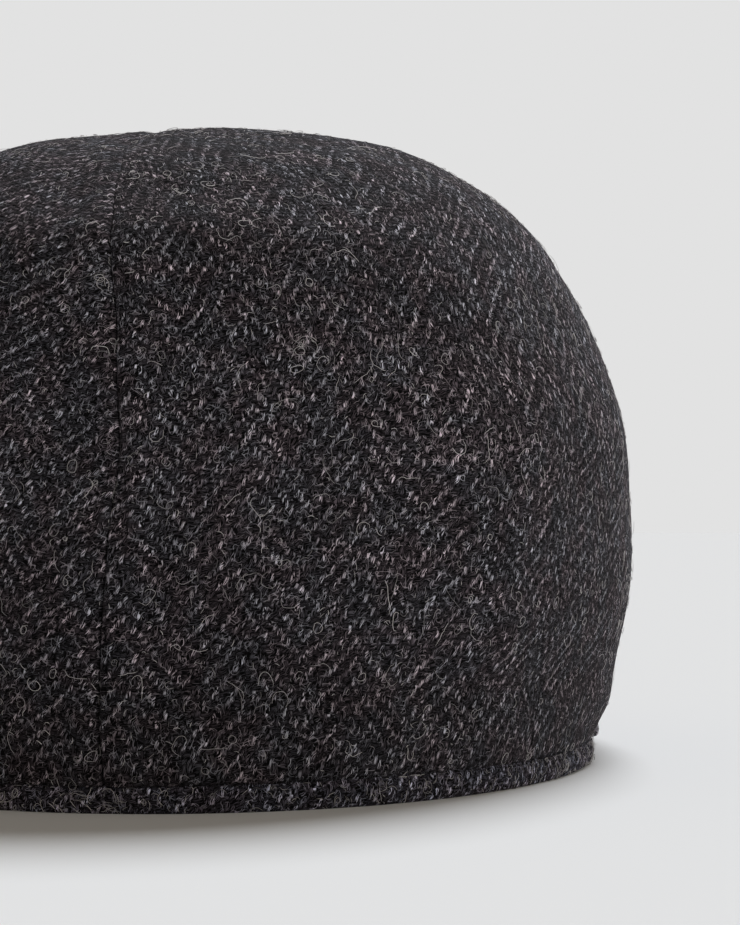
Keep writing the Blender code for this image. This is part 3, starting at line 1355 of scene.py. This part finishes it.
    def sheet(self) -> Sheet:
        """Make the outer face of this half, with its relief.

        Returns:
            The face.
        """
        position = self.positions(self.rows)
        turn = self.turns(position)
        spread = np.broadcast_to(position[:, None], turn.shape)
        points = self.form.crown_points(spread, turn)
        made = Sheet(points, self.pattern(position, turn), flip=True, pole=True)
        made.push(self.relief(points, spread, turn))
        made.points[..., 0] = np.maximum(made.points[..., 0], 0.0)
        made.points[:, (0, -1), 0] = 0.0
        made = made if self.half is Half.LEFT else made.mirrored()
        made.cloth = self.grain(made.cloth, made.points)
        return made

    def wandered(self, points: Array) -> Array:
        """Points with the seam drawn aside, as it lies on the cap.

        Args:
            points: Points of this half.

        Returns:
            The moved points.
        """
        x, y, z = np.moveaxis(points, -1, 0)
        aside = eased_table(z, self.wander) * smoothstep(*self.wander_ends, y)
        aside = aside * (1 - smoothstep(0.0, self.wander_reach, np.abs(x)))
        return points + aside[..., None] * (1.0, 0.0, 0.0)

    def build(self, finish: bpy.types.Material) -> Sheet:
        """Build this half as a closed wall of cloth.

        Args:
            finish: The crown's tweed.

        Returns:
            The outer face.
        """
        outer = self.sheet()
        inner = outer.points - outer.normals * self.form.cloth
        low = outer.points[0, :, 2] - outer.points[:, :, 2]
        free = smoothstep(*self.drop_ends, outer.points[..., 1])
        outer.points[..., 2] -= self.hem_drop * smoothstep(-self.drop_height, 0.0, low) * free
        side = self.half.value
        inner[..., 0] = side * np.maximum(side * inner[..., 0], 0.0)
        inner[:, (0, -1), 0] = 0.0
        inner, outer.points = self.wandered(inner), self.wandered(outer.points)
        outer.refresh()
        parts = lined_shell(outer, inner, self.lining_step)
        node = f"crown_{self.half.name.lower()}"
        piece = parts.build(f"{node}_cloth", self.form, finish)
        dress(piece, node)
        return outer


@dataclass
class RimBand:
    """Turned hem round the head opening, on which the cap stands."""

    form: CapForm
    columns: int = 840
    section_steps: int = 4
    outer_rows: tuple[int, int] = (3, 20)
    lumps: tuple[tuple[float, float], ...] = ((22.0, 0.35), (9.0, 0.22), (3.5, 0.14), (1.5, 0.16))
    lump_seed: int = 71
    lump_height: float = 1.2
    calm_front: float = 0.3
    cloth_start: float = 2.2
    section: tuple[HemPoint, ...] = (
        HemPoint(-2.7, 0.0),
        HemPoint(-0.7, 0.0),
        HemPoint(0.0, 0.9),
        HemPoint(0.25, 2.2),
        HemPoint(0.05, 3.5),
        HemPoint(-0.6, 4.55),
        HemPoint(-2.7, 5.1),
        HemPoint(-3.1, 4.3),
        HemPoint(-3.2, 0.7),
    )

    def outline(self) -> Array:
        """Section of the band as a smooth line that nowhere goes below the floor.

        Returns:
            The closed line, its last point on its first.
        """
        knots = np.array(self.section)
        count = len(knots)
        made = []
        for index in range(count):
            near = [knots[(index + k) % count] for k in (-1, 0, 1, 2)]
            made += [catmull_rom(*near, t) for t in np.arange(self.section_steps) / self.section_steps]
        line = np.array(made + made[:1])
        line[:, 1] = np.maximum(line[:, 1], 0.0)
        return line

    def sheet(self) -> Sheet:
        """Make the whole surface of the band.

        Returns:
            The surface, whose first and last columns meet in front.
        """
        form = self.form
        turn = np.linspace(-math.pi, math.pi, self.columns)
        line = self.outline()
        out, up = line[:, :1], line[:, 1:]
        x, y = form.oval(form.rim_half_width + out, form.rim_back + out, form.rim_front - out, turn)
        z = form.rim_rise(np.abs(turn)) + up
        points = np.stack(np.broadcast_arrays(x, y, z), axis=-1)
        girth = np.linalg.norm(np.diff(points[0], axis=0), axis=-1)
        arc = np.concatenate(([0], np.cumsum(girth)))
        arc -= np.interp(0.0, turn, arc)
        run = np.concatenate(([0], np.cumsum(np.linalg.norm(np.diff(line, axis=0), axis=1))))
        cloth = np.stack(np.broadcast_arrays(-arc, run[:, None] - self.cloth_start), axis=-1)
        made = Sheet(points, cloth, flip=True)
        lift = sum(depth * SoftNoise(size, self.lump_seed)(points) for size, depth in self.lumps)
        calm = smoothstep(0.0, self.calm_front, np.abs(np.abs(turn) - math.pi))
        made.push(lift * smoothstep(0.0, self.lump_height, up) * calm)
        made.points[-1] = made.points[0]
        made.points[:, -1] = made.points[:, 0]
        return made

    def build(self, finish: bpy.types.Material) -> Sheet:
        """Build the band.

        Args:
            finish: The rim's tweed.

        Returns:
            The outer face.
        """
        surface = self.sheet()
        piece = joined(surface).build("rim_band_cloth", self.form, finish)
        seen = slice(*self.outer_rows)
        face = Sheet(surface.points[seen], surface.cloth[seen], flip=True)
        dress(piece, "rim_band")
        return face


@dataclass
class Peak:
    """Short stiff peak under the front of the crown, with a row of stitches along its edge."""

    form: CapForm
    columns: int = 261
    rows: int = 49
    edge_radius: float = 1.7
    stitch_inset: float = 5.5
    stitch_groove: float = 0.28
    groove_width: float = 0.55
    groove_reaches: tuple[float, float] = (0.6, 0.9)
    corner_length: float = 90.0
    column_ease: float = 0.6
    row_ease: float = 0.7
    lumps: tuple[tuple[float, float], ...] = ((16.0, 0.25), (3.0, 0.06), (1.7, 0.04))
    lump_seed: int = 83

    @staticmethod
    def steps(count: int, ease: float) -> Array:
        """Places from 0 to 1, closer together at both ends.

        Args:
            count: How many.
            ease: How much closer: 0 for even places.

        Returns:
            The places.
        """
        share = np.arange(count) / (count - 1)
        return mix(share, 0.5 - 0.5 * np.cos(math.pi * share), ease)

    def plan(self) -> tuple[Array, Array, Array]:
        """Lay out the peak's points.

        Returns:
            Their turns and reaches, and the reach of the peak's edge at each of them.
        """
        form = self.form
        turn = mix(form.peak_corner, 2 * math.pi - form.peak_corner,
                   self.steps(self.columns, self.column_ease))
        from_back = np.where(turn <= math.pi, turn, 2 * math.pi - turn)
        full = mix(form.peak_corner_reach, 1.0, smoothstep(form.peak_corner, form.peak_full, from_back))
        reach = self.steps(self.rows, self.row_ease)[:, None] * full
        return np.broadcast_to(turn, reach.shape), reach, np.broadcast_to(full, reach.shape)

    def faces(self) -> tuple[Sheet, Sheet]:
        """Make the peak's two faces, which meet round its rounded edge.

        Returns:
            The upper and the lower face.
        """
        form = self.form
        turn, reach, full = self.plan()
        from_back = np.where(turn <= math.pi, turn, 2 * math.pi - turn)
        x, y = form.oval(*form.peak_oval(reach), turn)
        top = form.peak_top(from_back, reach)
        inner = np.stack(form.oval(*form.peak_oval(0.0), turn), axis=-1)
        outer = np.stack(form.oval(*form.peak_oval(1.0), turn), axis=-1)
        depth = np.linalg.norm(outer - inner, axis=-1)
        along = (from_back - form.peak_corner) * self.corner_length
        to_edge = (full - reach) * depth
        distance = np.minimum(np.minimum(to_edge, reach * depth), along)
        inside = clamp(distance / self.edge_radius)
        thick = form.peak_thickness * np.sqrt(1 - (1 - inside) ** 2)
        middle = top - form.peak_thickness / 2
        points = np.stack((x, y, middle), axis=-1)
        groove = self.stitch_groove * bell(to_edge, self.stitch_inset, self.groove_width)
        groove = groove * smoothstep(*self.groove_reaches, full)
        lift = sum(depth * SoftNoise(size, self.lump_seed)(points) for size, depth in self.lumps) * inside
        outward = (outer - inner) / depth[..., None]
        cloth = points[..., :2] + outward * (form.peak_thickness - thick)[..., None] / 2
        made = []
        for side in (1, -1):
            face = points.copy()
            face[..., 2] += side * (thick / 2 - groove) + lift
            made.append(Sheet(face, cloth, flip=side < 0))
        return made[0], made[1]

    def build(self, finish: bpy.types.Material) -> Sheet:
        """Build the peak.

        Args:
            finish: The peak's tweed.

        Returns:
            The upper face.
        """
        upper, lower = self.faces()
        piece = joined(upper, lower).build("peak_cloth", self.form, finish)
        dress(piece, "peak")
        return upper


def dress(piece: bpy.types.Object, node: str) -> None:
    """Let a piece stand for its node and ride with the cap.

    Args:
        piece: The piece.
        node: The node that it replaces.
    """
    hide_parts(node)
    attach(piece, ROOT)
    log.info("%s: %d faces, stands for %s", piece.name, len(piece.data.polygons), node)


@dataclass(frozen=True)
class FibreKind:
    """Kind of stray fibre: how many, how long, how curled and how far it stands off the cloth."""

    lay: Lay
    count: int
    steps: int
    length: tuple[float, float]
    curl: tuple[float, float]
    wander: float
    lift: tuple[float, float]
    radius: tuple[float, float]
    upright: float


RIM_FRINGE = (
    FibreKind(Lay.CURL, 130, 16, (2.5, 7.0), (4.0, 11.0), 0.5, (0.2, 0.9), (0.034, 0.052), 0.0),
    FibreKind(Lay.HAIR, 130, 11, (2.0, 5.0), (0.4, 3.0), 0.6, (0.2, 0.8), (0.030, 0.048), 0.0),
    FibreKind(Lay.NAP, 1300, 4, (0.7, 2.0), (0.2, 2.2), 0.3, (0.15, 0.7), (0.030, 0.048), 0.5),
)


@dataclass
class StrayFibres:
    """Fibres of wool that stand out of the cloth, laid along its surface as thin closed tubes."""

    form: CapForm
    sides: int = 3
    buried: float = 0.12
    floor_height: float = 0.08
    clump_noise: SoftNoise = SoftNoise(9.0, 5)
    clump_share: float = 0.8
    upright_heading: tuple[float, float] = (0.35, 0.45)
    loose_end: float = 0.8
    arch_powers: tuple[float, float] = (0.7, 0.8)
    least_steps: tuple[float, float] = (0.2, 0.1)
    bend_range: tuple[float, float] = (0.4, 1.6)
    tip: float = 0.35
    kinds: tuple[FibreKind, ...] = (
        FibreKind(Lay.CURL, 620, 16, (3.0, 8.0), (4.0, 11.0), 0.5, (0.15, 0.7), (0.034, 0.056), 0.0),
        FibreKind(Lay.HAIR, 560, 11, (2.5, 7.0), (0.4, 3.0), 0.6, (0.1, 0.5), (0.030, 0.050), 0.0),
        FibreKind(Lay.NAP, 3300, 4, (0.7, 2.0), (0.2, 2.2), 0.3, (0.06, 0.32), (0.034, 0.055), 0.7),
    )

    def starts(self, sheet: Sheet, count: int, rng: np.random.Generator) -> tuple[Array, Array]:
        """Choose where fibres start, evenly spread over a sheet with some clumps.

        Args:
            sheet: The surface.
            count: How many fibres.
            rng: Source of random numbers.

        Returns:
            Fractional rows and columns of the sheet.
        """
        grid = sheet.points
        cross = np.cross(grid[1:, :-1] - grid[:-1, :-1], grid[:-1, 1:] - grid[:-1, :-1])
        area = np.linalg.norm(cross, axis=-1)
        clumps = 1.0 + self.clump_share * self.clump_noise(grid[:-1, :-1])
        chance = (area * clumps).ravel()
        cell = rng.choice(chance.size, size=count, p=chance / chance.sum())
        row, column = np.unravel_index(cell, area.shape)
        return row + rng.random(count), column + rng.random(count)

    def paths(self, sheet: Sheet, kind: FibreKind, rng: np.random.Generator) -> tuple[Array, Array]:
        """Lines that fibres follow over a sheet.

        Args:
            sheet: The surface.
            kind: The kind of fibre.
            rng: Source of random numbers.

        Returns:
            The points of each fibre, and the surface normals there.
        """
        count = kind.count
        row, column = self.starts(sheet, count, rng)
        per_row = np.linalg.norm(np.gradient(sheet.points, axis=0), axis=-1)
        per_column = np.linalg.norm(np.gradient(sheet.points, axis=1), axis=-1)
        length = rng.uniform(*kind.length, count)
        heading = np.where(rng.random(count) < kind.upright, rng.normal(*self.upright_heading, count),
                           rng.uniform(-math.pi, math.pi, count))
        bend = rng.uniform(*kind.curl, count) * rng.choice((-1, 1), count) / kind.steps
        lift = rng.uniform(*kind.lift, count)
        end = rng.uniform(0.0, self.loose_end, count)
        advance = length / kind.steps
        middle_power, end_power = self.arch_powers
        least_row, least_column = self.least_steps
        points, normals = [], []
        for step in range(kind.steps + 1):
            share = step / kind.steps
            place, facing = sheet.sample(row, column)
            arch = np.sin(math.pi * share) ** middle_power * (1 - end) + end * share ** end_power
            place = place + facing * (arch * lift - self.buried * (1 - share))[:, None]
            place[:, 2] = np.maximum(place[:, 2], self.floor_height)
            points.append(place)
            normals.append(facing)
            i = np.clip(row.astype(int), 0, per_row.shape[0] - 1)
            j = np.clip(column.astype(int), 0, per_row.shape[1] - 1)
            row = row + advance * np.cos(heading) / np.maximum(per_row[i, j], least_row)
            column = column + advance * np.sin(heading) / np.maximum(per_column[i, j], least_column)
            heading = heading + bend * rng.uniform(*self.bend_range, count)
            heading = heading + rng.normal(0, kind.wander / 2, count)
        return np.stack(points, axis=1), np.stack(normals, axis=1)

    def tubes(self, points: Array, normals: Array, radius: Array, first: int,
              mark: float) -> tuple[Array, Array, list[Array]]:
        """Closed tubes along lines.

        Args:
            points: Points of each line.
            normals: Surface normals at the points.
            radius: Radius of each line.
            first: Number of the first line, which sets its shade.
            mark: Where the first flat coordinate starts, CURL_MARK for the lighter curls.

        Returns:
            Points, flat coordinates and faces of all the tubes.
        """
        count, steps = points.shape[:2]
        tangent = unit(np.gradient(points, axis=1))
        side = unit(np.cross(tangent, normals))
        lift = np.cross(side, tangent)
        share = np.linspace(0, 1, steps)
        taper = mix(self.tip, 1.0, np.sin(math.pi * share) ** 0.5)
        angle = np.arange(self.sides) * 2 * math.pi / self.sides
        offset = np.cos(angle)[:, None] * side[:, :, None] + np.sin(angle)[:, None] * lift[:, :, None]
        rings = points[:, :, None] + offset * (radius[:, None] * taper)[..., None, None]
        along = np.broadcast_to(share[:, None] + mark, rings.shape[:3])
        which = np.broadcast_to((np.arange(count) + first)[:, None, None], rings.shape[:3])
        cloth = np.stack((along, which.astype(float)), axis=-1)
        numbers = np.arange(count * steps * self.sides).reshape(count, steps, self.sides)
        turned = np.roll(numbers, -1, axis=2)
        walls = np.stack((numbers[:, :-1], turned[:, :-1], turned[:, 1:], numbers[:, 1:]), axis=-1)
        return rings, cloth, [walls.reshape(-1, 4), numbers[:, 0, ::-1], numbers[:, -1]]

    def build(self, name: str, sheet: Sheet, seed: int, finish: bpy.types.Material, slot: str,
              share: float = 1.0) -> None:
        """Build one piece of stray fibres.

        Args:
            name: The piece's name.
            sheet: The surface that carries the fibres.
            seed: Seed of the random numbers.
            finish: The fibres' wool.
            slot: Not used.
            share: Share of each kind's fibres that the surface carries.
        """
        rng = np.random.default_rng(seed)
        parts = MeshParts()
        first = 0
        for kind in self.kinds:
            some = replace(kind, count=max(int(kind.count * share), 1))
            points, normals = self.paths(sheet, some, rng)
            radius = rng.uniform(*kind.radius, some.count)
            mark = CURL_MARK if kind.lay is Lay.CURL else 0.0
            parts.add(*self.tubes(points, normals, radius, first, mark))
            first += some.count
        piece = parts.build(name, self.form, finish, weld=False)
        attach(piece, ROOT)
        log.info("%s: %d fibres, %d faces", name, first, len(piece.data.polygons))


@dataclass
class Studio:
    """Pale floor, soft light and the camera behind the cap, a little to its right."""

    form: CapForm
    distance: float = 500.0
    height: float = 47.2
    azimuth: float = 190.44
    aside: float = 3.58
    tilt: float = 1.55
    focal_pixels: float = 2397.0
    picture_height: float = 925.0
    sensor: float = 36.0
    clip: tuple[float, float] = (0.01, 100.0)
    backdrop: float = 0.7605
    floor_size: float = 40.0
    floor_albedo: tuple[float, float, float] = (0.85, 0.85, 0.85)
    sky: tuple[float, float, float] = (0.125, 0.108, 0.088)
    key_colour: tuple[float, float, float] = (0.965, 1.0, 1.045)
    key_strength: float = 2.66
    key_elevation: float = 57.0
    key_turn: float = -13.0
    key_angle: float = 24.0
    fill_colour: tuple[float, float, float] = (1.03, 1.0, 0.93)
    fill_strength: float = 0.6
    fill_elevation: float = 25.0
    fill_turn: float = 46.0
    fill_angle: float = 60.0

    def camera(self) -> None:
        """Place the camera at the photograph's viewing angle."""
        made = bpy.data.objects.new("camera", bpy.data.cameras.new("camera"))
        bpy.context.scene.collection.objects.link(made)
        bpy.context.scene.camera = made
        made.data.sensor_fit = "VERTICAL"
        made.data.sensor_height = self.sensor
        made.data.sensor_width = self.sensor
        made.data.lens = self.focal_pixels / self.picture_height * self.sensor
        made.data.clip_start, made.data.clip_end = self.clip
        turn = math.radians(self.azimuth)
        back = Vector((math.sin(turn), -math.cos(turn), 0.0))
        middle = Vector((0.0, self.form.origin_y, 0.0)) * MM
        made.location = middle + back * self.distance * MM + Vector((0, 0, self.height * MM))
        ahead = -back
        right = ahead.cross(Vector((0, 0, 1)))
        aside, tilt = math.radians(self.aside), math.radians(self.tilt)
        level = ahead * math.cos(aside) + right * math.sin(aside)
        aim = level * math.cos(tilt) + Vector((0, 0, math.sin(tilt)))
        made.rotation_euler = aim.to_track_quat("-Z", "Y").to_euler()

    def sun(self, name: str, turn: float, elevation: float, angle: float, strength: float,
            colour: tuple[float, float, float]) -> None:
        """Add a wide distant light.

        Args:
            name: The light's name.
            turn: Degrees from the front of the cap, towards +X, that the light comes from.
            elevation: Degrees above the floor.
            angle: Width of the light in degrees.
            strength: Strength of the light.
            colour: Colour of the light.
        """
        lamp = bpy.data.lights.new(name, "SUN")
        lamp.energy, lamp.color, lamp.angle = strength, colour, math.radians(angle)
        made = bpy.data.objects.new(name, lamp)
        a, e = math.radians(turn), math.radians(elevation)
        towards = Vector((math.sin(a) * math.cos(e), -math.cos(a) * math.cos(e), math.sin(e)))
        made.rotation_euler = towards.to_track_quat("Z", "Y").to_euler()
        bpy.context.scene.collection.objects.link(made)

    def world(self) -> None:
        """Set an even backdrop for the camera, and a dimmer, warmer sky for the light."""
        made = bpy.data.worlds.new("studio")
        made.use_nodes = True
        wires = Wiring(made.node_tree)
        seen = wires.node("ShaderNodeLightPath").outputs["Is Camera Ray"]
        shader = made.node_tree.nodes["Background"]
        backdrop = (self.backdrop, self.backdrop, self.backdrop, 1.0)
        wires.feed(shader.inputs["Color"], wires.blend(seen, (*self.sky, 1.0), backdrop))
        bpy.context.scene.world = made

    def floor(self) -> None:
        """Add the floor, which is no part of the cap."""
        mesh = bpy.data.meshes.new("floor")
        half = self.floor_size / 2
        corners = [(-half, -half, 0), (half, -half, 0), (half, half, 0), (-half, half, 0)]
        mesh.from_pydata(corners, [], [(0, 1, 2, 3)])
        mesh.materials.append(StudioPaper("studio paper", self.floor_albedo).material())
        made = bpy.data.objects.new("floor", mesh)
        bpy.context.scene.collection.objects.link(made)

    def build(self) -> None:
        """Set the studio up."""
        bpy.context.scene.view_settings.view_transform = "Standard"
        self.camera()
        self.world()
        self.floor()
        self.sun("key light", self.key_turn, self.key_elevation, self.key_angle, self.key_strength,
                 self.key_colour)
        self.sun("fill light", self.azimuth + self.fill_turn, self.fill_elevation, self.fill_angle,
                 self.fill_strength, self.fill_colour)


def write_sizes() -> None:
    """Update the view layer.
    """
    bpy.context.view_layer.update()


def main() -> None:
    """Build the studio and the cap, piece by piece."""
    logging.basicConfig(level=logging.INFO, format="%(name)s: %(message)s")
    form = CapForm()
    groups = EffectGroups.make()
    Studio(form).build()
    crown_tweed = Tweed("crown tweed").material(groups)
    left_face = CrownHalf(form, Half.LEFT).build(crown_tweed)
    right_face = CrownHalf(form, Half.RIGHT).build(crown_tweed)
    # Painted light: the rim's tweed is the crown's tweed made lighter and bluer, standing in for the dim,
    # warm light that reaches the band.
    rim_tweed = Tweed("rim tweed", brightness=1.22, painted_hem_shade=1.0, navy=(0.90, 0.98, 1.2),
                      violet=(1.0, 0.96, 1.14))
    rim_face = RimBand(form).build(rim_tweed.material(groups))
    peak_face = Peak(form).build(Tweed("peak tweed", painted_hem_shade=1.0).material(groups))
    wool = StrayWool("stray wool").material()
    fibres = StrayFibres(form)
    fibres.build("left_fibres", left_face, 3, wool, "crown_tweed")
    fibres.build("right_fibres", right_face, 4, wool, "crown_tweed")
    fibres.build("peak_fibres", peak_face, 5, wool, "peak_tweed", share=0.25)
    StrayFibres(form, kinds=RIM_FRINGE).build("rim_fibres", rim_face, 6, wool, "rim_tweed")
    write_sizes()


if __name__ == "__main__":
    main()
